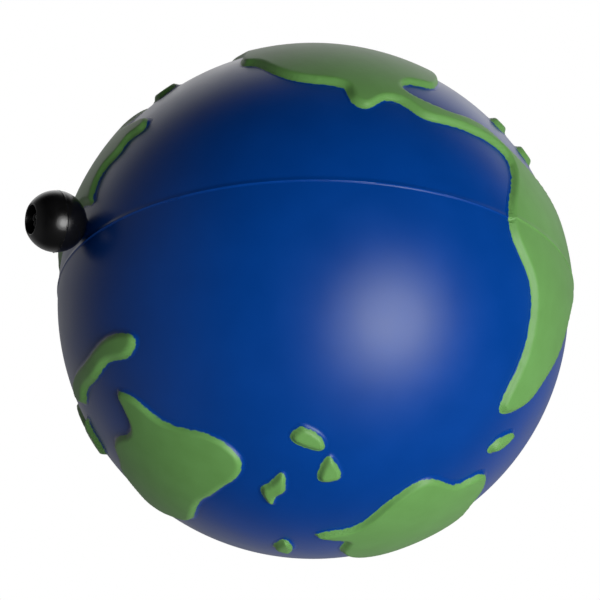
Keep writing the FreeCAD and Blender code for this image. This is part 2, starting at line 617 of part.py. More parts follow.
def toothed_prism(teeth, shift, phase, low, high):
    """A spur gear's outline, pushed up from low to high; one tooth points at the phase."""
    edges = []
    feet = []
    for k in range(int(teeth)):
        middle = phase + 2 * math.pi * k / teeth
        near_foot, near = tooth_flank(teeth, shift, middle, -1)
        far_foot, far = tooth_flank(teeth, shift, middle, 1)
        rise = Part.BSplineCurve()
        rise.interpolate(near)
        fall = Part.BSplineCurve()
        fall.interpolate(far[::-1])
        crest = (near[-1] + far[-1]) * 0.5
        crest.multiply(near[-1].Length / crest.Length)
        edges.append(Part.LineSegment(near_foot, near[0]).toShape())
        edges.append(rise.toShape())
        edges.append(Part.Arc(near[-1], crest, far[-1]).toShape())
        edges.append(fall.toShape())
        edges.append(Part.LineSegment(far[0], far_foot).toShape())
        feet.append((near_foot, far_foot))
    for k, (_, far_foot) in enumerate(feet):
        next_foot = feet[(k + 1) % len(feet)][0]
        dip = (far_foot + next_foot) * 0.5
        dip.multiply(far_foot.Length / dip.Length)
        edges.append(Part.Arc(far_foot, dip, next_foot).toShape())
    wire = Part.Wire(Part.__sortEdges__(edges))
    prism = Part.Face(wire).extrude(FreeCAD.Vector(0, 0, high - low))
    prism.translate(FreeCAD.Vector(0, 0, low))
    return prism


def bearing(angle_text):
    """The sheet's angle in the X-Z plane, seen in a shaft's own frame."""
    return -math.radians(value(angle_text))


def gear(label, centre, prisms, bore, low, high):
    blank = prisms[0]
    if len(prisms) > 1:
        blank = blank.multiFuse(prisms[1:])
    hole = Part.makeCylinder(bore, high - low + 2, FreeCAD.Vector(0, 0, low - 1))
    made = doc.addObject("Part::Feature", label)
    made.Shape = blank.cut(hole)
    return on_shaft(made, centre)


def drum_gear():
    """The large gear on the drum; one tooth points at the idler."""
    low = value(DRUM_TOP)
    high = value(GEAR_TOP)
    teeth = value("drum_teeth")
    prism = toothed_prism(teeth, -value("tooth_shift"), bearing("idler_angle"), low, high)
    return gear("drum_gear", DRUM, [prism], value("arbor_diameter / 2 + running_gap"), low, high)


def idler_gear():
    """Pinion and wheel in one moulding. The pinion's gap meets the drum gear's tooth."""
    low = value(IDLER_LOW)
    step = value(WHEEL_LOW)
    high = value(WHEEL_TOP)
    teeth = value("pinion_teeth")
    gap_at = bearing("idler_angle") + math.pi + math.pi / teeth
    pinion = toothed_prism(teeth, value("tooth_shift"), gap_at, low, step)
    wheel = toothed_prism(value("wheel_teeth"), -value("tooth_shift"), bearing("rotor_angle"),
                          step, high)
    bore = value("pin_diameter / 2 + running_gap")
    return gear("idler_gear", IDLER, [pinion, wheel], bore, low, high)


def rotor_pinion():
    """The brass pinion on the rotor's shaft; its gap meets the wheel's tooth."""
    low = value(f"{WHEEL_LOW} - pinion_overlap")
    high = value(f"{WHEEL_TOP} + pinion_overlap")
    teeth = value("pinion_teeth")
    gap_at = bearing("rotor_angle") + math.pi + math.pi / teeth
    prism = toothed_prism(teeth, value("tooth_shift"), gap_at, low, high)
    return gear("rotor_pinion", ROTOR, [prism], value("pin_diameter / 2"), low, high)


def rotor_weight():
    """A half disc on a hub, which shakes the ball as it spins."""
    disc = cylinder("weight_disc", "weight_radius", "weight_height")
    disc.Angle = 180
    on_shaft(disc, ROTOR, WEIGHT_LOW)
    hub = shaft_cylinder("weight_hub", "weight_hub_radius", ROTOR, WEIGHT_LOW, WEIGHT_TOP)
    bore = shaft_cylinder("weight_bore", "pin_diameter / 2", ROTOR, WEIGHT_LOW, WEIGHT_TOP)
    return cut("rotor_weight", fuse("weight_solid", [disc, hub]), [bore])


# ---------------------------------------------------------------- bead and cord
def pull_bead():
    """A ball with a bore for the cord and a pocket for its knot."""
    ball = doc.addObject("Part::Sphere", "bead_ball")
    ball.setExpression("Radius", bound("bead_diameter / 2"))
    on_pull_line(ball, BEAD_AT)
    bore = pull_cylinder("bead_bore_tool", "bead_bore / 2", f"{BEAD_AT} - bead_diameter",
                         f"{BEAD_AT} + bead_diameter")
    pocket = pull_cylinder("bead_pocket_tool", "bead_pocket / 2", POCKET_FLOOR,
                           f"{BEAD_AT} + bead_diameter")
    return cut("pull_bead", ball, [bore, pocket])


def cord_knot():
    """The knot that holds the bead on the cord."""
    radius = "knot_diameter / 2"
    made = lathe("cord_knot", [
        ("0", "knot_gap"), (f"{radius} - knot_round", "knot_gap"),
        (radius, "knot_gap + knot_round"), (radius, "knot_length - knot_round"),
        (f"{radius} - knot_round", "knot_length"), ("0", "knot_length")])
    return on_pull_line(made, POCKET_FLOOR)


def shaft_washer(label, centre, bore, low):
    """A thin washer round a shaft, standing one running gap clear of what it faces."""
    made = ring(label, f"{bore} / 2 + running_gap", f"{bore} / 2 + washer_radius - washer_trim", low,
                f"{low} + washer_thick")
    return on_shaft(made, centre)


nodes = [
    foam_half("north_foam_half", True),
    foam_half("south_foam_half", False),
    lands("north_lands", True),
    lands("south_lands", False),
    capsule_base(),
    capsule_lid(),
    cord_guide(),
    drum_arbor(),
    cord_drum(),
    on_shaft(ring("spring_cover", "arbor_diameter / 2 + running_gap", f"{BARREL_RADIUS} - seat_gap",
                  DRUM_LOW, f"{DRUM_LOW} + cover_thick"), DRUM),
    mainspring(),
    drum_gear(),
    cord_winding(),
    cord_anchor_knot(),
    pull_cylinder("cord_run", "cord_diameter / 2", f"{LEAVES_DRUM} + {STUB}",
                  f"{POCKET_FLOOR} + knot_gap"),
    cord_knot(),
    pull_bead(),
    shaft_washer("drum_washer_low", DRUM, "arbor_diameter",
                 f"{DRUM_LOW} - running_gap - washer_thick"),
    shaft_washer("drum_washer_high", DRUM, "arbor_diameter", f"{GEAR_TOP} + running_gap"),
    on_shaft(ring("idler_pin", "0", "pin_diameter / 2", f"{IDLER_LOW} - {WASHER_SPACE} - pin_in_base",
                  f"{WHEEL_TOP} + {WASHER_SPACE} + pin_in_lid"), IDLER),
    idler_gear(),
    shaft_washer("idler_washer_low", IDLER, "pin_diameter",
                 f"{IDLER_LOW} - running_gap - washer_thick"),
    shaft_washer("idler_washer_high", IDLER, "pin_diameter", f"{WHEEL_TOP} + running_gap"),
    on_shaft(ring("rotor_shaft", "0", "pin_diameter / 2",
                  f"{FLOOR} + bush_boss_rise - bush_length + shaft_end_gap",
                  f"{CEILING} - bush_boss_rise + bush_length - shaft_end_gap"), ROTOR),
    rotor_pinion(),
    rotor_weight(),
    on_shaft(ring("rotor_bush_base", "pin_diameter / 2 + running_gap", "bush_radius",
                  f"{FLOOR} + bush_boss_rise - bush_length", f"{FLOOR} + bush_boss_rise"), ROTOR),
    on_shaft(ring("rotor_bush_lid", "pin_diameter / 2 + running_gap", "bush_radius",
                  f"{CEILING} - bush_boss_rise", f"{CEILING} - bush_boss_rise + bush_length"),
             ROTOR),
]
nodes += [screw(f"capsule_screw_{i}", centre) for i, centre in enumerate(SCREWS, start=1)]

doc.recompute()
faults = [o.Name for o in doc.Objects if "Invalid" in o.State or "Error" in o.State]
for node in nodes:
    if node.Shape.isNull() or not node.Shape.isValid():
        faults.append(node.Label + " has no valid shape")
if faults:
    raise RuntimeError("not written: " + ", ".join(faults))

os.makedirs("parts", exist_ok=True)
for node in nodes:
    node.Shape.exportStep(f"parts/{node.Label}.step")
    print(f"{node.Label}: {len(node.Shape.Solids)} solids, {node.Shape.Volume:.1f} mm3")
print(f"bead centre {value(BEAD_AT):.2f} mm along the pull line, cord leaves the drum at"
      f" {value(LEAVES_DRUM):.2f} mm, skin at {value(SKIN_EXIT):.2f} mm")
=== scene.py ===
# %% [markdown]
# # A foam stress ball with a pull bead
# The real toy is a ball of self-skinning polyurethane foam, moulded in two halves round a plastic
# capsule. A cord runs from a sprung drum in the capsule, out through the skin, to a black bead.
# The CAD frame gives every place and size. Each cell below makes one piece or one finish.

import json
import math

import bpy
import numpy as np
from mathutils import Matrix, Vector, kdtree, noise
from mathutils.bvhtree import BVHTree


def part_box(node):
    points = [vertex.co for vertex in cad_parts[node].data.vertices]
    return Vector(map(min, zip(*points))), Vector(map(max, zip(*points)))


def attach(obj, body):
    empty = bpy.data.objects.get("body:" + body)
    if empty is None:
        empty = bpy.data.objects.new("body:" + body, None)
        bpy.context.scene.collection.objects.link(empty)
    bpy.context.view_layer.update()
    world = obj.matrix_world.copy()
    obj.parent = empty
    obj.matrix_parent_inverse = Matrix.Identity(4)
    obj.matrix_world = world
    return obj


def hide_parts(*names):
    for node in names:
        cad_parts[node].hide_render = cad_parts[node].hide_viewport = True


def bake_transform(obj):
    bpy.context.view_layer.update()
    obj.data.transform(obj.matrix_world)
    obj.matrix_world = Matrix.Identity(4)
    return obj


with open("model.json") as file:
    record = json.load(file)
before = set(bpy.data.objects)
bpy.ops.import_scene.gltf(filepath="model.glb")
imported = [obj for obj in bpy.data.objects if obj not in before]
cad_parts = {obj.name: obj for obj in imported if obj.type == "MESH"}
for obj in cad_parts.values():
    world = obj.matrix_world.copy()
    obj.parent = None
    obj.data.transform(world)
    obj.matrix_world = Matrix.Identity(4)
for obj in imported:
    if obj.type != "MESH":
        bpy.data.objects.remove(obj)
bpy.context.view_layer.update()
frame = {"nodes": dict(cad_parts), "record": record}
MM = 0.001

mounts = {mount["name"]: mount for mount in frame["record"]["mounts"]}
bead_centre = Vector(mounts["bead_grip"]["pos_m"])
pull = Vector(mounts["bead_grip"]["axis"])
ball_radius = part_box("north_foam_half")[1][2]
land_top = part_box("north_lands")[1][1]
print(f"ball radius {ball_radius / MM:.1f} mm, lands rise {(land_top - ball_radius) / MM:.1f} mm")

# %% [markdown]
# ## The camera
# A product shot from a little below the ball's middle, with a long lens seven radii away, so the
# ball shows hardly any perspective. The camera's own axes are kept, because the lights are
# placed by them.

# %% Camera
AZIMUTH = math.radians(-29.1)
ELEVATION = math.radians(-25.0)
ROLL = math.radians(-0.45)
DISTANCE = 7 * ball_radius

back = Vector((
    math.sin(AZIMUTH) * math.cos(ELEVATION),
    -math.cos(AZIMUTH) * math.cos(ELEVATION),
    math.sin(ELEVATION),
))
level = Vector((math.cos(AZIMUTH), math.sin(AZIMUTH), 0))
upright = back.cross(level)
right = level * math.cos(ROLL) + upright * math.sin(ROLL)
up = back.cross(right)


def aim(thing, place, facing, top):
    """Stand a camera or light at a place, with its back along facing."""
    side = top.cross(facing).normalized()
    turn = Matrix((side, facing.cross(side), facing)).transposed().to_4x4()
    thing.matrix_world = Matrix.Translation(place) @ turn


camera = bpy.data.objects.new("camera", bpy.data.cameras.new("camera"))
bpy.context.scene.collection.objects.link(camera)
camera.data.lens = 106.2
camera.data.shift_x = -0.0217
camera.data.shift_y = 0.0058
camera.data.clip_start = 0.01
camera.data.clip_end = 20
aim(camera, back * DISTANCE, back, up)
bpy.context.scene.camera = camera
bpy.context.scene.view_settings.view_transform = "Standard"
print("camera at", [round(v, 4) for v in camera.matrix_world.translation])

# %% [markdown]
# ## Small tools for materials
# Colours are written as sRGB hex, the way a maker's chart gives them, and one function turns them
# to the linear values that a shader wants. A second function adds a node, sets it and links it.
# Nearly every surface here is a moulded or turned one, so one recipe serves them: a slow drift of
# colour and gloss, and a fine peel that breaks the reflections.

# %% Colour and node helpers
def linear(code):
    """Linear RGBA from an sRGB hex code."""
    parts = [int(code[i:i + 2], 16) / 255 for i in (1, 3, 5)]
    return (*[c / 12.92 if c <= 0.04045 else ((c + 0.055) / 1.055) ** 2.4 for c in parts], 1)


def add(tree, kind, settings=None, inputs=None):
    """Add a node; an input is a value, or another node's output to link."""
    node = tree.nodes.new(kind)
    for name, value in (settings or {}).items():
        setattr(node, name, value)
    for name, value in (inputs or {}).items():
        if isinstance(value, bpy.types.NodeSocket):
            tree.links.new(value, node.inputs[name])
        else:
            node.inputs[name].default_value = value
    return node


def finish(name, deep, light, lump_mm, roughness, peel_mm, depth_mm, **shader):
    """A moulded or turned finish: its colour and roughness drift between two limits over lumps
    lump_mm across, and a peel of peel_mm lumps stands depth_mm high."""
    made = bpy.data.materials.new(name)
    made.use_nodes = True
    tree = made.node_tree
    principled = tree.nodes["Principled BSDF"]
    for socket, value in shader.items():
        principled.inputs[socket.replace("_", " ")].default_value = value
    place = add(tree, "ShaderNodeTexCoord").outputs["Object"]
    lumps, peel = (add(tree, "ShaderNodeTexNoise", {}, {
        "Vector": place, "Scale": 1 / (size * MM), "Detail": 3.0}).outputs["Fac"]
        for size in (lump_mm, peel_mm))
    colour = add(tree, "ShaderNodeMix", {"data_type": "RGBA"}, {
        "Factor": lumps, 6: linear(deep), 7: linear(light)})
    rough = add(tree, "ShaderNodeMapRange", {}, {
        "Value": lumps, "From Min": 0.3, "From Max": 0.7,
        "To Min": roughness[0], "To Max": roughness[1]})
    bump = add(tree, "ShaderNodeBump", {}, {"Height": peel, "Distance": depth_mm * MM})
    tree.links.new(colour.outputs[2], principled.inputs["Base Color"])
    tree.links.new(rough.outputs["Result"], principled.inputs["Roughness"])
    tree.links.new(bump.outputs["Normal"], principled.inputs["Normal"])
    return made


print("black reads", [round(v, 3) for v in linear("#101010")[:3]])

# %% [markdown]
# ## Polyurethane skin and paint
# Self-skinning foam comes out of the mould with a satin face: a wide soft highlight and a faint
# orange-peel. The lands carry a flat green paint that stops a little raggedly near the foot of
# their slopes. The paint's mask reads how far each point is inside the painted outline, which is
# kept on the mesh in millimetres.

# %% Foam skin and land paint
SEA_DEEP, SEA_LIGHT = "#003279", "#003986"
LAND_DEEP, LAND_LIGHT = "#588644", "#639451"
RAG_MM, RAG_DEEP_MM = 0.8, 0.35           # the ragged edge's lump size, and how far it wanders

foam_skin = finish("moulded_pu_foam_skin", SEA_DEEP, SEA_LIGHT, 6.0, (0.28, 0.33), 0.45, 0.004,
                   IOR=1.40)

# The paint starts from the same finish. The mask then mixes sea blue below and green above.
land_paint = finish("brushed_flat_paint_on_foam", LAND_DEEP, LAND_LIGHT, 3.0, (0.30, 0.45), 0.6,
                    0.012, IOR=1.40)
tree = land_paint.node_tree
shader = tree.nodes["Principled BSDF"]
green = shader.inputs["Base Color"].links[0].from_socket
place = add(tree, "ShaderNodeTexCoord").outputs["Object"]
inside = add(tree, "ShaderNodeAttribute", {"attribute_name": "paint_mm"}).outputs["Fac"]
rag = add(tree, "ShaderNodeTexNoise", {}, {
    "Vector": place, "Scale": 1 / (RAG_MM * MM), "Detail": 3.0}).outputs["Fac"]
edge = add(tree, "ShaderNodeMath", {"operation": "MULTIPLY_ADD"}, {
    0: rag, 1: RAG_DEEP_MM, 2: inside}).outputs[0]
mask = add(tree, "ShaderNodeMapRange", {}, {
    "Value": edge, "From Min": RAG_DEEP_MM / 2 - 0.05, "From Max": RAG_DEEP_MM / 2 + 0.05,
}).outputs["Result"]
drift = add(tree, "ShaderNodeTexNoise", {}, {
    "Vector": place, "Scale": 1 / (6.0 * MM), "Detail": 3.0}).outputs["Fac"]
sea = add(tree, "ShaderNodeMix", {"data_type": "RGBA"}, {
    "Factor": drift, 6: linear(SEA_DEEP), 7: linear(SEA_LIGHT)}).outputs[2]
paint = add(tree, "ShaderNodeMix", {"data_type": "RGBA"}, {"Factor": mask, 6: sea, 7: green})
gloss = add(tree, "ShaderNodeMapRange", {}, {"Value": mask, "To Min": 0.30, "To Max": 0.45})
tree.links.new(paint.outputs[2], shader.inputs["Base Color"])
tree.links.new(gloss.outputs["Result"], shader.inputs["Roughness"])
print("skin and paint ready")

# %% [markdown]
# ## Plastics, metals and cord
# What lies inside is ordinary small-toy hardware. Each finish is named for its stock and process:
# moulded plastics are semi-matt with a faint flow mottle, turned steel has a fine grain, and the
# die-cast weight is grainy.

# %% Hardware finishes
FINISHES = {
    # slot: (name, deep, light, roughness, metallic, grain size mm, bump mm)
    "abs_shell": ("moulded_natural_abs", "#b9b7ae", "#c9c7be", 0.42, 0.0, 4.0, 0.006),
    "guide_acetal": ("moulded_acetal", "#dcd9d0", "#eae8e0", 0.32, 0.0, 2.0, 0.003),
    "arbor_steel": ("turned_bright_steel", "#8f9296", "#b3b6ba", 0.24, 1.0, 0.15, 0.002),
    "drum_nylon": ("moulded_nylon", "#d2cdbb", "#e2dfd0", 0.40, 0.0, 3.0, 0.004),
    "spring_steel": ("blued_spring_strip", "#3a4256", "#4d566b", 0.28, 1.0, 0.4, 0.002),
    "gear_acetal": ("moulded_gear_acetal", "#e0ddd2", "#efece3", 0.30, 0.0, 2.0, 0.003),
    "washer_nylon": ("stamped_nylon", "#c6c2b4", "#d6d2c6", 0.45, 0.0, 1.0, 0.003),
    "pinion_brass": ("cut_brass", "#b0873a", "#cda252", 0.26, 1.0, 0.2, 0.002),
    "weight_zinc": ("die_cast_zinc", "#83868a", "#9da0a3", 0.46, 1.0, 0.5, 0.012),
    "bush_bronze": ("sintered_bronze", "#8c5f37", "#a9784a", 0.48, 1.0, 0.1, 0.006),
    "screw_zinc": ("zinc_plated_steel", "#9fa3a6", "#c3c6c8", 0.28, 1.0, 0.3, 0.002),
}
materials = {"foam_skin": foam_skin, "land_paint": land_paint}
for slot, (name, deep, light, roughness, metallic, size, depth) in FINISHES.items():
    materials[slot] = finish(name, deep, light, size, (roughness - 0.05, roughness + 0.05),
                             size / 2, depth, Metallic=metallic)
print(len(FINISHES), "hardware finishes")

# %% [markdown]
# The bead is black ABS from a polished mould: a small clear highlight and a soft haze round it,
# because handling dulls the polish. The cord is braided nylon. Its yarns are modelled, so the
# finish only gives each one a soft sheen and the fuzz of its fibres, drawn at 0.12 mm, which is
# about five times too coarse, because real fibres would be too fine to show.

# %% Bead and cord finishes
materials["bead_abs"] = finish(
    "polished_black_abs", "#060606", "#0d0d0e", 1.2, (0.19, 0.25), 1.5, 0.004, IOR=1.53)

materials["cord_nylon"] = finish(
    "braided_black_nylon", "#0c0c0e", "#1d1d20", 0.12, (0.55, 0.65), 0.12, 0.01,
    Sheen_Weight=0.3, Sheen_Roughness=0.4)
print("bead and cord ready")

# %% [markdown]
# ## Where the shores run
# The CAD lands are smooth-edged slabs. Their outlines are read from their top faces: an edge that
# only one top face uses is shore, unless it lies on the seam. Any point of the ball can then ask
# how far it is from the nearest shore, and a ray from the centre tells land from sea.

# %% Shore distance
SEAM_BAND = 0.6 * MM                      # an edge this near the seam is a cut, not a shore
TOP_SLACK = 0.1 * MM                      # a face is a top if no corner lies lower than this
SHORE_STEP = 0.12 * MM
top_corners = []
top_faces = []
shore_points = []
for node_name in ("north_lands", "south_lands"):
    mesh = frame["nodes"][node_name].data
    keys = {}
    numbers = []
    for vertex in mesh.vertices:
        key = tuple(round(c / MM, 3) for c in vertex.co)
        numbers.append(keys.setdefault(key, len(keys)))
    corners = [Vector(key) * MM for key in keys]
    mesh.calc_loop_triangles()
    uses = {}
    first = len(top_corners)
    top_corners += corners
    for triangle in mesh.loop_triangles:
        face = [numbers[i] for i in triangle.vertices]
        if min(corners[i].length for i in face) < land_top - TOP_SLACK:
            continue
        top_faces.append([first + i for i in face])
        for a, b in zip(face, face[1:] + face[:1]):
            pair = (min(a, b), max(a, b))
            uses[pair] = uses.get(pair, 0) + 1
    for (a, b), count in uses.items():
        start, end = corners[a], corners[b]
        if count > 1 or max(abs(start.z), abs(end.z)) < SEAM_BAND:
            continue
        steps = max(1, int((end - start).length / SHORE_STEP))
        shore_points += [start.lerp(end, (k + 0.5) / steps) for k in range(steps)]

land_tree = BVHTree.FromPolygons(top_corners, top_faces)
shore_tree = kdtree.KDTree(len(shore_points))
for i, point in enumerate(shore_points):
    shore_tree.insert(point.normalized() * ball_radius, i)
shore_tree.balance()


def shore_distance(direction):
    """Millimetres from the nearest shore, positive on land."""
    _, _, distance = shore_tree.find(direction * ball_radius)
    probe = direction.copy()
    band = SEAM_BAND / ball_radius
    if abs(probe.z) < band:
        probe.z = math.copysign(band, probe.z or 1)
        probe.normalize()
    hit = land_tree.ray_cast(Vector(), probe)[0]
    return distance / MM if hit else -distance / MM


print(len(top_faces), "top faces,", len(shore_points), "shore points")

# %% [markdown]
# ## The shape of the skin
# Each half is one closed foam body. Its outside is the sphere, raised over the lands with short
# rounded slopes, and along the seam it has what the mould leaves: a low lip, steep on the south
# side and falling away gently to the north. Its inside is the capsule's pocket.

# %% Relief and seam profile
SLOPE_OUT, SLOPE_IN = 0.35, 0.45         # the slope starts and ends this far from the shore, mm
relief_mm = 0.9 * (land_top - ball_radius) / MM   # worn a little softer than the mould


def relief(shore):
    """Height over the sea in mm, from the distance to the shore."""
    x = np.clip((shore + SLOPE_OUT) / (SLOPE_OUT + SLOPE_IN), 0, 1)
    return relief_mm * x * x * (3 - 2 * x)


# The lip, mm: its height, the run of its steep side, where its crest stands, and its fall.
LIP_HIGH, LIP_STEEP, LIP_CREST, LIP_FALL = 0.11, 0.20, 0.06, 0.38
LIP_WAVER = 0.25                          # its height wavers by this share round the ball
PARTING = 0.04                            # the parting line's depth and width, mm


def seam_profile(along, wobble):
    """Height of the moulding line in mm at a signed distance from the seam, north positive."""
    rise = np.clip((along - LIP_CREST + LIP_STEEP) / LIP_STEEP, 0, 1)
    fall = np.exp(-(np.maximum(along - LIP_CREST, 0) / LIP_FALL) ** 2)
    lip = LIP_HIGH * wobble * rise * rise * (3 - 2 * rise) * fall
    return lip - PARTING * np.exp(-(along / PARTING) ** 2)


print(f"lands {relief_mm:.2f} mm high, seam lip {LIP_HIGH} mm")

# %% [markdown]
# The mesh is a net of rows and columns, with rows packed close beside the seam where the lip is
# finer than a hair. Doing the heights as arrays keeps this fast.

# %% Build the net of one half
COLUMNS = 540
FINE_STEP, COARSE_STEP = 0.05, 0.34       # mm between rows, beside the seam and elsewhere
FINE_BAND = 1.0                           # how far from the seam the fine rows reach, mm
FILM_RIM = -0.60                          # the paint film reaches this far past the shore, mm


def skin_net(side):
    """Directions, shore distances and radii of one half's outer surface, rows by columns."""
    quarter = math.pi / 2 * ball_radius / MM
    rows = list(np.arange(0, FINE_BAND, FINE_STEP))
    coarse = int((quarter - FINE_BAND) / COARSE_STEP)
    rows += list(np.linspace(FINE_BAND, quarter - COARSE_STEP / 2, coarse))
    latitude = side * np.array(rows) * MM / ball_radius
    longitude = np.arange(COLUMNS) * 2 * math.pi / COLUMNS
    grid_lat, grid_lon = np.meshgrid(latitude, longitude, indexing="ij")
    directions = np.stack([
        np.cos(grid_lat) * np.cos(grid_lon), np.cos(grid_lat) * np.sin(grid_lon),
        np.sin(grid_lat)], axis=-1)
    flat = directions.reshape(-1, 3)
    shore = np.array([shore_distance(Vector(d)) for d in flat]).reshape(grid_lat.shape)
    along = grid_lat * ball_radius / MM
    wobble = 1 + LIP_WAVER * np.sin(7 * grid_lon + 1.3) * np.sin(3 * grid_lon)
    radius = ball_radius / MM + relief(shore) + seam_profile(along, wobble)
    return directions, shore, radius * MM


nets = {"north": skin_net(1), "south": skin_net(-1)}
print({name: net[1].shape for name, net in nets.items()})

# %% [markdown]
# The bead is drawn tight against the foam, so it leaves a shallow dent. A ray from the centre to
# the bead's sphere gives how deep the foam must yield.

# %% Bead dent
BEAD_RADIUS = (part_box("pull_bead")[1][1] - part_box("pull_bead")[0][1]) / 2
DENT_GAP = 0.04 * MM


def dented(directions, radius):
    """Keep the skin just outside the bead's sphere."""
    towards = directions @ np.array(bead_centre)
    clear = BEAD_RADIUS + DENT_GAP
    inside = towards ** 2 - bead_centre.length_squared + clear ** 2
    reach = towards - np.sqrt(np.maximum(inside, 0))
    return np.where((inside > 0) & (towards > 0), np.minimum(radius, reach), radius)


dent = ball_radius + BEAD_RADIUS + DENT_GAP - bead_centre.length
print(f"bead {2 * BEAD_RADIUS / MM:.1f} mm across, dent {max(dent, 0) / MM:.2f} mm deep")


# %% [markdown]
# The pocket's wall is found the same way: along each direction, the nearer of the capsule's drum
# wall and its two flat ends.

# %% Close a half round the capsule
foam_low, foam_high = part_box("capsule_base")[0][1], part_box("capsule_lid")[1][1]
CAPSULE_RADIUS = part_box("capsule_lid")[1][0]
POCKET_GAP = 0.25 * MM
POCKET_ROWS = 26
SINK, SINK_OVER = 0.05, 0.3               # the skin lies this much lower under the paint film, mm


def pocket_radius(directions):
    """Distance from the ball's centre to the pocket's wall."""
    across = np.hypot(directions[..., 0], directions[..., 2])
    along = directions[..., 1]
    end = np.where(along > 0, foam_high + POCKET_GAP, foam_low - POCKET_GAP)
    to_wall = (CAPSULE_RADIUS + POCKET_GAP) / np.maximum(across, 1e-6)
    to_end = end / np.where(np.abs(along) < 1e-6, 1e-6, along)
    return np.minimum(to_wall, np.abs(to_end))


def net_faces(row_count, first, pole, columns):
    """Triangles between rows and a fan to the pole; first is row 0's first vertex."""
    faces = []
    for i in range(row_count - 1):
        a = first + i * columns
        for j in range(columns):
            k = (j + 1) % columns
            faces.append((a + j, a + k, a + columns + k))
            faces.append((a + j, a + columns + k, a + columns + j))
    a = first + (row_count - 1) * columns
    faces += [(a + j, a + (j + 1) % columns, pole) for j in range(columns)]
    return faces


def outward(mesh):
    """Turn the mesh round if its volume is negative."""
    mesh.calc_loop_triangles()
    volume = 0.0
    for t in mesh.loop_triangles:
        a, b, c = (mesh.vertices[i].co for i in t.vertices)
        volume += a.dot(b.cross(c)) / 6
    if volume < 0:
        mesh.flip_normals()
    return abs(volume)


def piece(name, points, faces, material, smooth_angle=40):
    """A mesh object at the origin with its material, smooth but for its sharp edges."""
    mesh = bpy.data.meshes.new(name)
    mesh.from_pydata([tuple(p) for p in points], [], [tuple(f) for f in faces])
    mesh.validate()
    mesh.shade_smooth()
    mesh.set_sharp_from_angle(angle=math.radians(smooth_angle))
    mesh.materials.append(material)
    made = bpy.data.objects.new(name, mesh)
    bpy.context.scene.collection.objects.link(made)
    return made


def foam_half(name, side, net):
    """One closed half of the ball."""
    directions, shore, radius = net
    sunk = radius - SINK * MM * np.clip((shore - FILM_RIM) / SINK_OVER, 0, 1)
    outer = directions * dented(directions, sunk)[..., None]
    rows = outer.shape[0]
    latitude = side * np.linspace(0, math.pi / 2, POCKET_ROWS + 1)[:-1]
    longitude = np.arange(COLUMNS) * 2 * math.pi / COLUMNS
    grid_lat, grid_lon = np.meshgrid(latitude, longitude, indexing="ij")
    inward = np.stack([
        np.cos(grid_lat) * np.cos(grid_lon), np.cos(grid_lat) * np.sin(grid_lon),
        np.sin(grid_lat)], axis=-1)
    inner = inward * pocket_radius(inward)[..., None]
    tip = np.array([[0, 0, side * radius[-1].mean()]])
    floor = np.array([[0, 0, side * (CAPSULE_RADIUS + POCKET_GAP)]])
    points = np.vstack([outer.reshape(-1, 3), inner.reshape(-1, 3), tip, floor])
    first_inner = rows * COLUMNS
    pole = len(points) - 2
    faces = net_faces(rows, 0, pole, COLUMNS)
    faces += [f[::-1] for f in net_faces(POCKET_ROWS, first_inner, pole + 1, COLUMNS)]
    for j in range(COLUMNS):
        k = (j + 1) % COLUMNS
        faces.append((j, first_inner + j, first_inner + k, k))
    made = piece(name, points, faces, foam_skin)
    volume = outward(made.data)
    print(f"{name}: {len(made.data.vertices)} points, {volume / MM ** 3 / 1000:.1f} cm3")
    return made


north_skin = foam_half("north_foam_skin", 1, nets["north"])
south_skin = foam_half("south_foam_skin", -1, nets["south"])

# %% [markdown]
# The cord's way out is a round hole from the pocket, wide enough for the plastic guide, that
# narrows to a close fit where the skin lies on the cord. A boolean cut by a stepped pin makes it,
# and the result is taken as a plain mesh.

# %% Cut the cord's hole
HOLE_SIDES = 48
# (distance inward from the bead's centre, radius), mm
HOLE_STEPS = [(23.0, 1.5), (5.35, 1.5), (5.25, 0.7), (0.0, 0.7)]
across = pull.orthogonal().normalized()
beside = pull.cross(across)


def stepped_pin(steps, sides):
    """Points and faces of a closed round pin whose radius changes along the pull line."""
    points = []
    for inward, radius in steps:
        for k in range(sides):
            angle = 2 * math.pi * k / sides
            out = across * math.cos(angle) + beside * math.sin(angle)
            points.append(bead_centre - pull * inward * MM + out * radius * MM)
    faces = []
    for i in range(len(steps) - 1):
        a = i * sides
        for k in range(sides):
            m = (k + 1) % sides
            faces.append((a + k, a + m, a + sides + m, a + sides + k))
    last = (len(steps) - 1) * sides
    faces += [tuple(range(sides))[::-1], tuple(range(last, last + sides))]
    return points, faces


pin = piece("hole_pin", *stepped_pin(HOLE_STEPS, HOLE_SIDES), foam_skin)
outward(pin.data)
hole = north_skin.modifiers.new("hole", "BOOLEAN")
hole.object = pin
hole.solver = "EXACT"
graph = bpy.context.evaluated_depsgraph_get()
north_skin.data = bpy.data.meshes.new_from_object(north_skin.evaluated_get(graph))
north_skin.modifiers.clear()
bpy.data.objects.remove(pin)
north_skin.data.set_sharp_from_angle(angle=math.radians(40))
print("north skin now has", len(north_skin.data.polygons), "faces")

for skin, node in ((north_skin, "north_foam_half"), (south_skin, "south_foam_half")):
    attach(skin, "ball")
    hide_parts(node)

# %% [markdown]
# ## The painted tops
# The paint is a film of its own, cut from the same net so that it follows the slope exactly. Each
# triangle that crosses the level is cut there, and the film gets a little depth into the foam so
# that it is closed. Its ragged edge is drawn by its material, inside the film's rim. The stamp
# that carried the paint sat a quarter of a millimetre off its place, so a sliver of blue slope
# shows along one side of each land and none along the other.

# %% Cut and thicken the paint film
FILM_DEPTH = 0.30 * MM
FILM_LIFT = 0.012 * MM
PRINT_SPREAD = 0.20                       # the paint runs this far past the shore, mm
PRINT_DRIFT = Vector((-0.14, 0.08, -0.20)) * MM


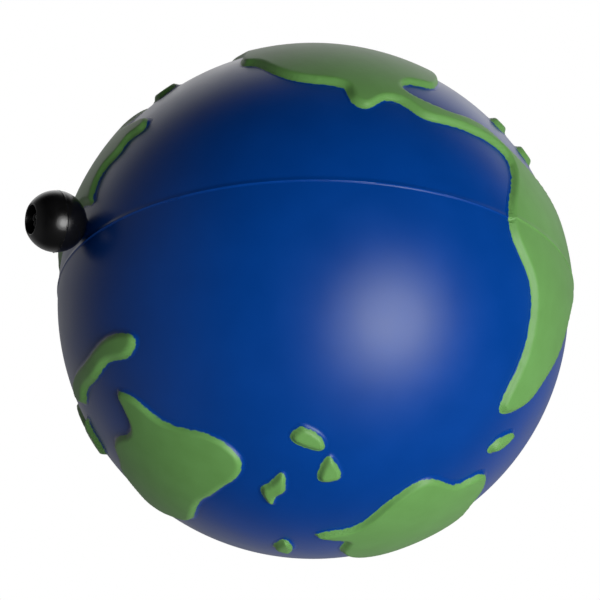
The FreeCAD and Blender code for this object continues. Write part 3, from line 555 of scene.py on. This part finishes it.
def cut_film(points, level, triangles):
    """Keep the part of a sheet whose level is above zero; returns points, levels, triangles."""
    new_points = list(points)
    new_level = list(level)
    crossings = {}

    def crossing(a, b):
        """The number of the point where the edge from a to b meets the level."""
        pair = (min(a, b), max(a, b))
        if pair not in crossings:
            low, high = pair
            share = level[low] / (level[low] - level[high])
            crossings[pair] = len(new_points)
            new_points.append(points[low] + (points[high] - points[low]) * share)
            new_level.append(0.0)
        return crossings[pair]

    kept = []
    for triangle in triangles:
        above = [level[i] > 0 for i in triangle]
        if all(above):
            kept.append(tuple(triangle))
        elif any(above):
            turn = above.index(True) if sum(above) == 1 else (above.index(False) + 1) % 3
            a, b, c = (triangle[(turn + k) % 3] for k in range(3))
            if sum(above) == 1:
                kept.append((a, crossing(a, b), crossing(a, c)))
            else:
                kept.append((a, b, crossing(b, c)))
                kept.append((a, crossing(b, c), crossing(c, a)))
    return np.array(new_points), np.array(new_level), kept


def paint_film(name, side, net):
    """The closed paint film over one half's lands."""
    directions, shore, radius = net
    rows = shore.shape[0]
    outer = directions * (radius + FILM_LIFT)[..., None]
    points = np.vstack([outer.reshape(-1, 3), [[0, 0, side * (radius[-1].mean() + FILM_LIFT)]]])
    level = np.append(shore.reshape(-1), shore[-1].mean()) - FILM_RIM
    busy = [face for face in net_faces(rows, 0, len(points) - 1, COLUMNS)
            if max(level[i] for i in face) > 0]
    points, level, kept = cut_film(points, level, busy)
    used = sorted({i for f in kept for i in f})
    number = {old: new for new, old in enumerate(used)}
    top = points[used]
    under = top * (1 - FILM_DEPTH / np.linalg.norm(top, axis=1))[:, None]
    count = len(used)
    faces = [tuple(number[i] for i in f) for f in kept]
    sides_used = {}
    for a, b, c in faces:
        for edge_pair in ((a, b), (b, c), (c, a)):
            sides_used[edge_pair] = True
    rim = [pair for pair in sides_used if (pair[1], pair[0]) not in sides_used]
    faces += [tuple(count + i for i in f[::-1]) for f in faces]
    faces += [(b, a, count + a, count + b) for a, b in rim]
    made = piece(name, np.vstack([top, under]), faces, land_paint, 60)
    outward(made.data)
    printed = [shore_distance((Vector(p) - PRINT_DRIFT).normalized()) + PRINT_SPREAD for p in top]
    paint_mm = made.data.attributes.new("paint_mm", "FLOAT", "POINT")
    paint_mm.data.foreach_set("value", np.tile(printed, 2).astype(np.float32))
    print(f"{name}: {len(faces)} faces, {len(rim)} rim edges")
    return made


for name, side, node in (("north", 1, "north_lands"), ("south", -1, "south_lands")):
    film = paint_film(name + "_land_paint", side, nets[name])
    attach(film, "ball")
    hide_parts(node)

# %% [markdown]
# ## The bead
# A drilled ball, moulded in two halves. Its section is one profile turned about the pull line: the
# outside, a rounded pocket mouth, the pocket, the bore, and a proud moulding line at the waist
# where the halves meet. The waist line wavers with the angle, because flash never breaks evenly.

# %% Turn the bead
BEAD_SEGMENTS = 128
BORE_RADIUS = 0.65 * MM
POCKET_RADIUS = 1.85 * MM
POCKET_DEPTH = 3.0 * MM
MOUTH_ROUND = 0.22 * MM
BORE_ROUND = 0.10 * MM
FLOOR_ROUND = 0.15 * MM
RIDGE_HIGH, RIDGE_WIDE = 0.07 * MM, 0.09 * MM


def bead_profile():
    """(radius, height along the pull line) from the bore's inner end round the outside to the
    pocket and back down the bore."""
    start = math.asin((BORE_RADIUS + BORE_ROUND) / BEAD_RADIUS)
    end = math.pi - math.asin((POCKET_RADIUS + MOUTH_ROUND) / BEAD_RADIUS)
    outside = sorted(set(
        [round(a, 5) for a in np.linspace(start, end, 70)]
        + [round(math.pi / 2 + a, 5) for a in np.linspace(-0.06, 0.06, 13)]))
    profile = [(BEAD_RADIUS * math.sin(a), -BEAD_RADIUS * math.cos(a)) for a in outside]
    mouth_height = profile[-1][1]
    for k in range(1, 6):
        turn = math.pi / 2 * k / 5
        profile.append((POCKET_RADIUS + MOUTH_ROUND * (1 - math.sin(turn)),
                        mouth_height - MOUTH_ROUND * (1 - math.cos(turn)) * 0.9))
    floor = BEAD_RADIUS - POCKET_DEPTH
    profile.append((POCKET_RADIUS, floor + FLOOR_ROUND))
    profile.append((POCKET_RADIUS - FLOOR_ROUND, floor))
    profile.append((BORE_RADIUS + BORE_ROUND, floor))
    profile.append((BORE_RADIUS, floor - BORE_ROUND))
    profile.append((BORE_RADIUS, -BEAD_RADIUS * math.cos(start) + BORE_ROUND))
    return profile


def turned_bead():
    """The bead's profile turned about the pull line, with a wavering ridge at the waist."""
    profile = bead_profile()
    points = []
    for k in range(BEAD_SEGMENTS):
        angle = 2 * math.pi * k / BEAD_SEGMENTS
        outwards = across * math.cos(angle) + beside * math.sin(angle)
        flash = 0.5 + 0.5 * noise.noise(outwards * 6) + 0.35 * noise.noise(outwards * 17)
        for radius, height in profile:
            ridge = 0.0
            if radius > 0.9 * BEAD_RADIUS:
                ridge = RIDGE_HIGH * max(flash, 0.1) * math.exp(-(height / RIDGE_WIDE) ** 2)
            points.append(bead_centre + outwards * (radius + ridge) + pull * height)
    count = len(profile)
    faces = []
    for k in range(BEAD_SEGMENTS):
        a, b = k * count, (k + 1) % BEAD_SEGMENTS * count
        for i in range(count):
            j = (i + 1) % count
            faces.append((a + i, a + j, b + j, b + i))
    made = piece("drilled_bead", points, faces, materials["bead_abs"], 50)
    outward(made.data)
    return made


bead = turned_bead()
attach(bead, "bead")
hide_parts("pull_bead")
print("bead faces", len(bead.data.polygons))

# %% [markdown]
# ## The braided cord
# A 1 mm cord is a braid: eight yarns wind round a core, half of them each way. One yarn is a
# spiral, so Geometry Nodes make the spiral, turn copies of it round the core and give each a round
# section. The tree makes the straight run.

# %% A tree that braids a straight cord
def braid_tree():
    """Inputs: Length, Radius, Yarns, Turns, Steps, Material. The cord stands on Z from 0."""
    tree = bpy.data.node_groups.new("braided_cord", "GeometryNodeTree")
    face = tree.interface
    face.new_socket("Geometry", in_out="OUTPUT", socket_type="NodeSocketGeometry")
    for name, kind in (("Length", "Float"), ("Radius", "Float"), ("Yarns", "Int"),
                       ("Turns", "Float"), ("Steps", "Int"), ("Material", "Material")):
        face.new_socket(name, in_out="INPUT", socket_type="NodeSocket" + kind)
    given = add(tree, "NodeGroupInput").outputs
    yarn_radius = add(tree, "ShaderNodeMath", {"operation": "MULTIPLY"}, {
        0: given["Radius"], 1: 0.30}).outputs[0]
    path_radius = add(tree, "ShaderNodeMath", {"operation": "SUBTRACT"}, {
        0: given["Radius"], 1: yarn_radius}).outputs[0]
    section = add(tree, "GeometryNodeCurvePrimitiveCircle", {}, {
        "Resolution": 6, "Radius": yarn_radius}).outputs["Curve"]
    slots = add(tree, "GeometryNodeMeshCircle", {}, {
        "Vertices": given["Yarns"], "Radius": 0.0}).outputs["Mesh"]
    spin = add(tree, "ShaderNodeMath", {"operation": "DIVIDE"}, {
        0: 2 * math.pi, 1: given["Yarns"]}).outputs[0]
    index = add(tree, "GeometryNodeInputIndex").outputs[0]
    angle = add(tree, "ShaderNodeMath", {"operation": "MULTIPLY"}, {0: index, 1: spin}).outputs[0]
    turned = add(tree, "ShaderNodeCombineXYZ", {}, {"Z": angle}).outputs[0]
    join = add(tree, "GeometryNodeJoinGeometry")
    for hand in (1, -1):
        spiral = add(tree, "GeometryNodeCurveSpiral", {}, {
            "Resolution": given["Steps"], "Rotations": given["Turns"],
            "Start Radius": path_radius, "End Radius": path_radius, "Height": given["Length"]})
        spiral.inputs["Reverse"].default_value = hand < 0
        yarn = add(tree, "GeometryNodeCurveToMesh", {}, {
            "Curve": spiral.outputs[0], "Profile Curve": section, "Fill Caps": True})
        copies = add(tree, "GeometryNodeInstanceOnPoints", {}, {
            "Points": slots, "Instance": yarn.outputs[0], "Rotation": turned})
        tree.links.new(copies.outputs[0], join.inputs[0])
    core = add(tree, "GeometryNodeMeshCylinder", {}, {
        "Vertices": 12, "Side Segments": given["Steps"], "Radius": path_radius,
        "Depth": given["Length"]})
    half = add(tree, "ShaderNodeMath", {"operation": "MULTIPLY"}, {
        0: given["Length"], 1: 0.5}).outputs[0]
    lift = add(tree, "ShaderNodeCombineXYZ", {}, {"Z": half}).outputs[0]
    raised = add(tree, "GeometryNodeTransform", {}, {
        "Geometry": core.outputs["Mesh"], "Translation": lift})
    tree.links.new(raised.outputs[0], join.inputs[0])
    real = add(tree, "GeometryNodeRealizeInstances", {}, {"Geometry": join.outputs[0]})
    coloured = add(tree, "GeometryNodeSetMaterial", {}, {
        "Geometry": real.outputs[0], "Material": given["Material"]})
    add(tree, "NodeGroupOutput", {}, {"Geometry": coloured.outputs[0]})
    return tree


def grown(name, tree, values):
    """Run a Geometry Nodes tree on an object and keep what it makes as a plain mesh."""
    made = bpy.data.objects.new(name, bpy.data.meshes.new(name))
    bpy.context.scene.collection.objects.link(made)
    modifier = made.modifiers.new("grow", "NODES")
    modifier.node_group = tree
    for item in tree.interface.items_tree:
        if item.in_out == "INPUT" and item.name in values:
            modifier[item.identifier] = values[item.name]
    graph = bpy.context.evaluated_depsgraph_get()
    mesh = bpy.data.meshes.new_from_object(made.evaluated_get(graph))
    made.modifiers.clear()
    made.data = mesh
    mesh.name = name
    mesh.shade_smooth()
    return made


braid = braid_tree()
print("braid tree has", len(braid.nodes), "nodes")

# %% [markdown]
# The run goes from the drum to the knot in the bead's pocket, always on the pull line.

# %% Lay the cord's run
CORD_RADIUS = 0.5 * MM
run_low, run_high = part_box("cord_run")
run_end = bead_centre + pull * (BEAD_RADIUS - POCKET_DEPTH + 0.05 * MM)
run_length = (run_high[0] - run_low[0] - CORD_RADIUS * abs(pull.z) * 2) / abs(pull.x)
run_start = run_end - pull * run_length
cord_run = grown("cord_run_braid", braid, {
    "Length": run_length, "Radius": CORD_RADIUS, "Yarns": 4, "Turns": run_length / (3.4 * MM),
    "Steps": 36, "Material": materials["cord_nylon"]})
stand = Matrix((across, beside, pull)).transposed().to_4x4()
cord_run.data.transform(Matrix.Translation(run_start) @ stand)
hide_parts("cord_run")
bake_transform(cord_run)
print(f"cord run {run_length / MM:.1f} mm, {len(cord_run.data.polygons)} faces")

# %% [markdown]
# The knot is a trefoil, the closed path that a tight overhand knot takes, swept as a round tube.
# It sits at the bottom of the bead's pocket, where the run ends.

# %% Tie the knot
def swept(name, path, radius, sides, material, closed):
    """A round tube along a path of points; its frame is carried from point to point."""
    count = len(path)
    points = []
    normal = None
    for i in range(count):
        ahead = path[(i + 1) % count] if closed or i < count - 1 else path[i]
        behind = path[i - 1] if closed or i > 0 else path[i]
        along = (ahead - behind).normalized()
        if normal is None:
            normal = along.orthogonal().normalized()
        normal = (normal - along * normal.dot(along)).normalized()
        side = along.cross(normal)
        for k in range(sides):
            angle = 2 * math.pi * k / sides
            points.append(path[i] + (normal * math.cos(angle) + side * math.sin(angle)) * radius)
    faces = []
    twist = 0
    if closed:
        first, last = points[0] - path[0], points[(count - 1) * sides] - path[-1]
        cosine = max(-1, min(1, first.normalized().dot(last.normalized())))
        lean = math.copysign(math.acos(cosine), last.cross(first).dot(path[1] - path[0]))
        twist = round(lean / (2 * math.pi) * sides)
    for i in range(count if closed else count - 1):
        j = (i + 1) % count
        shift = twist if closed and j == 0 else 0
        for k in range(sides):
            m = (k + 1) % sides
            faces.append((i * sides + k, i * sides + m, j * sides + (m - shift) % sides,
                          j * sides + (k - shift) % sides))
    if not closed:
        faces.append(tuple(range(sides))[::-1])
        faces.append(tuple(range((count - 1) * sides, count * sides)))
    return piece(name, points, faces, material)


KNOT_LIFT, KNOT_WIDE, KNOT_TALL, KNOT_CORD = 1.08 * MM, 0.26 * MM, 0.52 * MM, 0.36 * MM
KNOT_STEPS = 120
knot_middle = bead_centre + pull * (BEAD_RADIUS - POCKET_DEPTH + KNOT_LIFT)
knot_path = []
for k in range(KNOT_STEPS):
    t = 2 * math.pi * k / KNOT_STEPS
    wide = KNOT_WIDE * (2 + math.cos(3 * t))
    knot_path.append(knot_middle + (across * math.cos(2 * t) + beside * math.sin(2 * t)) * wide
                     + pull * KNOT_TALL * math.sin(3 * t))
knot = swept("overhand_knot", knot_path, KNOT_CORD, 12, materials["cord_nylon"], True)
outward(knot.data)
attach(knot, "bead")
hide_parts("cord_knot")
print("knot", [round(v / MM, 1) for v in knot.dimensions], "mm")

# %% [markdown]
# On the drum the cord lies in neat turns, each a cord's width from the last, so its path is a
# spiral whose radius and pitch come from the drum's groove.

# %% Wind the cord on the drum
drum_low, drum_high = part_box("cord_drum")
drum_axis = Vector(((drum_low[0] + drum_high[0]) / 2, 0, (drum_low[2] + drum_high[2]) / 2))
WOUND_RADIUS = 8.2 * MM
TURNS, PITCH, TURN_STEPS = 3.9, 1.04 * MM, 72
STUB_STEPS = (4.2, 2.0)                   # the straight that leaves the coil, mm
leave_angle = math.atan2(abs(pull.x), -abs(pull.z))
coil_path = []
for k in range(int(TURNS * TURN_STEPS) + 1):
    turned_by = 2 * math.pi * k / TURN_STEPS
    angle = leave_angle - turned_by
    coil_path.append(drum_axis + Vector((
        math.cos(angle) * WOUND_RADIUS, bead_centre.y - PITCH * turned_by / (2 * math.pi),
        math.sin(angle) * WOUND_RADIUS)))
coil_path = [coil_path[0] + pull * step * MM for step in STUB_STEPS] + coil_path
winding = swept("wound_cord", coil_path, CORD_RADIUS, 10, materials["cord_nylon"], False)
outward(winding.data)
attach(winding, "drum")
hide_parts("cord_winding")
print(f"wound cord {sum((b - a).length for a, b in zip(coil_path, coil_path[1:])) / MM:.0f} mm")

# %% [markdown]
# ## Flash along the seam
# Where the mould halves meet, the foam squeezes out as a thin lip that tears into crumbs. They sit
# in clusters on the lip. Geometry Nodes scatter them: points along a circle, kept only where a
# noise is high, each with a tiny lump of its own size and turn.

# %% A tree that scatters crumbs
CRUMB_SPREAD = (0.06, 0.06, 0.10)         # how far a crumb strays from the line, mm


def crumb_tree():
    """Inputs: Radius, Count, Size, Share, Seed, Material. The circle lies level."""
    tree = bpy.data.node_groups.new("seam_crumbs", "GeometryNodeTree")
    face = tree.interface
    face.new_socket("Geometry", in_out="OUTPUT", socket_type="NodeSocketGeometry")
    for name, kind in (("Radius", "Float"), ("Count", "Int"), ("Size", "Float"),
                       ("Share", "Float"), ("Seed", "Int"), ("Material", "Material")):
        face.new_socket(name, in_out="INPUT", socket_type="NodeSocket" + kind)
    given = add(tree, "NodeGroupInput").outputs
    ring = add(tree, "GeometryNodeMeshCircle", {}, {
        "Vertices": given["Count"], "Radius": given["Radius"]}).outputs["Mesh"]
    jitter = add(tree, "FunctionNodeRandomValue", {"data_type": "FLOAT_VECTOR"}, {
        "Min": tuple(-v * MM for v in CRUMB_SPREAD), "Max": tuple(v * MM for v in CRUMB_SPREAD),
        "Seed": given["Seed"]}).outputs[0]
    moved = add(tree, "GeometryNodeSetPosition", {}, {"Geometry": ring, "Offset": jitter})
    cluster = add(tree, "ShaderNodeTexNoise", {}, {"Scale": 140.0, "Detail": 2.0})
    thin = add(tree, "FunctionNodeCompare", {"operation": "GREATER_THAN"}, {
        "A": cluster.outputs["Fac"], "B": given["Share"]}).outputs[0]
    lump = add(tree, "GeometryNodeMeshIcoSphere", {}, {"Radius": given["Size"], "Subdivisions": 1})
    scale = add(tree, "FunctionNodeRandomValue", {"data_type": "FLOAT_VECTOR"}, {
        "Min": (0.4, 0.4, 0.3), "Max": (1.6, 1.0, 1.0), "Seed": given["Seed"]}).outputs[0]
    turn = add(tree, "FunctionNodeRandomValue", {"data_type": "FLOAT_VECTOR"}, {
        "Max": (6.3, 6.3, 6.3), "Seed": given["Seed"]}).outputs[0]
    placed = add(tree, "GeometryNodeInstanceOnPoints", {}, {
        "Points": moved.outputs[0], "Selection": thin, "Instance": lump.outputs[0],
        "Rotation": turn, "Scale": scale})
    real = add(tree, "GeometryNodeRealizeInstances", {}, {"Geometry": placed.outputs[0]})
    coloured = add(tree, "GeometryNodeSetMaterial", {}, {
        "Geometry": real.outputs[0], "Material": given["Material"]})
    add(tree, "NodeGroupOutput", {}, {"Geometry": coloured.outputs[0]})
    return tree


crumbs_tree = crumb_tree()
seam_crumbs = grown("seam_flash_crumbs", crumbs_tree, {
    "Radius": ball_radius + 0.08 * MM, "Count": 1400, "Size": 0.06 * MM, "Share": 0.60,
    "Seed": 7, "Material": foam_skin})
seam_crumbs.data.transform(Matrix.Translation((0, 0, -0.10 * MM)))
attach(seam_crumbs, "ball")
print("crumbs:", len(seam_crumbs.data.polygons), "faces")

# The bead's waist has the same flash, finer.
bead_flash = grown("bead_flash", crumbs_tree, {
    "Radius": BEAD_RADIUS + 0.03 * MM, "Count": 160, "Size": 0.05 * MM, "Share": 0.47,
    "Seed": 3, "Material": materials["bead_abs"]})
bead_flash.data.transform(Matrix.Translation(bead_centre) @ stand)
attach(bead_flash, "bead")
print("bead flash:", len(bead_flash.data.polygons), "faces")

# %% [markdown]
# ## Finish the hardware
# The CAD pieces inside keep their shape. Each takes the finish of its own slot in the record.

# %% Give every CAD piece its material
slots = {part["node"]: part["material_slot"] for part in frame["record"]["subparts"]}
for node_name, node in frame["nodes"].items():
    node.data.materials.clear()
    node.data.materials.append(materials[slots[node_name]])
print(len(slots), "CAD pieces finished")

# %% [markdown]
# ## The studio
# A white card above and behind, a dimmer sweep all round the back and a pale table below give
# the edges their sheen; the room on the camera's side is dark. One soft light on the right makes
# the wide highlight: it has a bright middle and a dimmer spill round it, and a fill beside it
# brightens the blue without showing in the reflections. The floor is far below, because the
# camera looks slightly up at the ball, and it throws no light back: the table card does that.

# %% Floor, sweep and lights
FLOOR_DROP = 0.60
floor = piece("floor", [
    (x * 4, y * 4, -FLOOR_DROP) for x, y in ((-1, -1), (1, -1), (1, 1), (-1, 1))],
    [(0, 1, 2, 3)], finish("pale_painted_floor", "#f2f2f2", "#f6f6f6", 80, (0.85, 0.95), 5, 0.1))
floor.visible_glossy = floor.visible_diffuse = False

world = bpy.data.worlds.new("studio")
bpy.context.scene.world = world
world.use_nodes = True
tree = world.node_tree
tree.nodes.clear()
towards = add(tree, "ShaderNodeTexCoord").outputs["Generated"]
CARDS = {
    # part: (direction it is measured along, from, to, brightness at from, brightness at to)
    "card_height": (up, 0.05, 0.40, 0.0, 0.95),
    "card_depth": (-back, 0.36, 0.80, 0.0, 1.0),
    "card_side": (right, -0.7, 0.0, 0.4, 1.0),
    "sweep": (-back, 0.20, 0.85, 0.0, 0.32),
    "wall": (-right, 0.45, 0.95, 0.0, 0.15),
    "table": (up, -0.10, -0.50, 0.0, 0.05),
}
shades = {}
for part, (direction, low, high, start, end) in CARDS.items():
    along = add(tree, "ShaderNodeVectorMath", {"operation": "DOT_PRODUCT"}, {
        0: towards, 1: tuple(direction)}).outputs["Value"]
    shades[part] = add(tree, "ShaderNodeMapRange", {"interpolation_type": "SMOOTHSTEP"}, {
        "Value": along, "From Min": low, "From Max": high, "To Min": start, "To Max": end,
    }).outputs["Result"]
room = shades["card_height"]
for operation, part in (("MULTIPLY", "card_depth"), ("MULTIPLY", "card_side"),
                        ("ADD", "sweep"), ("ADD", "wall"), ("ADD", "table")):
    room = add(tree, "ShaderNodeMath", {"operation": operation}, {
        0: room, 1: shades[part]}).outputs[0]
seen = add(tree, "ShaderNodeLightPath").outputs["Is Camera Ray"]
strength = add(tree, "ShaderNodeMix", {"data_type": "FLOAT"}, {
    "Factor": seen, "A": room, "B": 1.0})
glow = add(tree, "ShaderNodeBackground", {}, {
    "Color": (1, 1, 1, 1), "Strength": strength.outputs["Result"]})
add(tree, "ShaderNodeOutputWorld", {}, {"Surface": glow.outputs[0]})


def soft_light(name, across_mm, watts, sideways, upwards, nearer, distance):
    """A round soft light, placed by the camera's own axes and facing the ball."""
    facing = (right * sideways + up * upwards + back * nearer).normalized()
    light = bpy.data.objects.new(name, bpy.data.lights.new(name, "AREA"))
    light.data.shape = "DISK"
    light.data.size = across_mm * MM
    light.data.energy = watts
    bpy.context.scene.collection.objects.link(light)
    aim(light, facing * distance, facing, up)
    light.visible_camera = False
    return light


soft_light("key_centre", 230, 1.00, 0.53, -0.12, 0.83, 0.45)
soft_light("key_spill", 430, 1.15, 0.53, -0.12, 0.83, 0.45)
soft_light("fill", 430, 1.40, 0.45, -0.40, 0.80, 0.45).visible_glossy = False
print("studio ready")
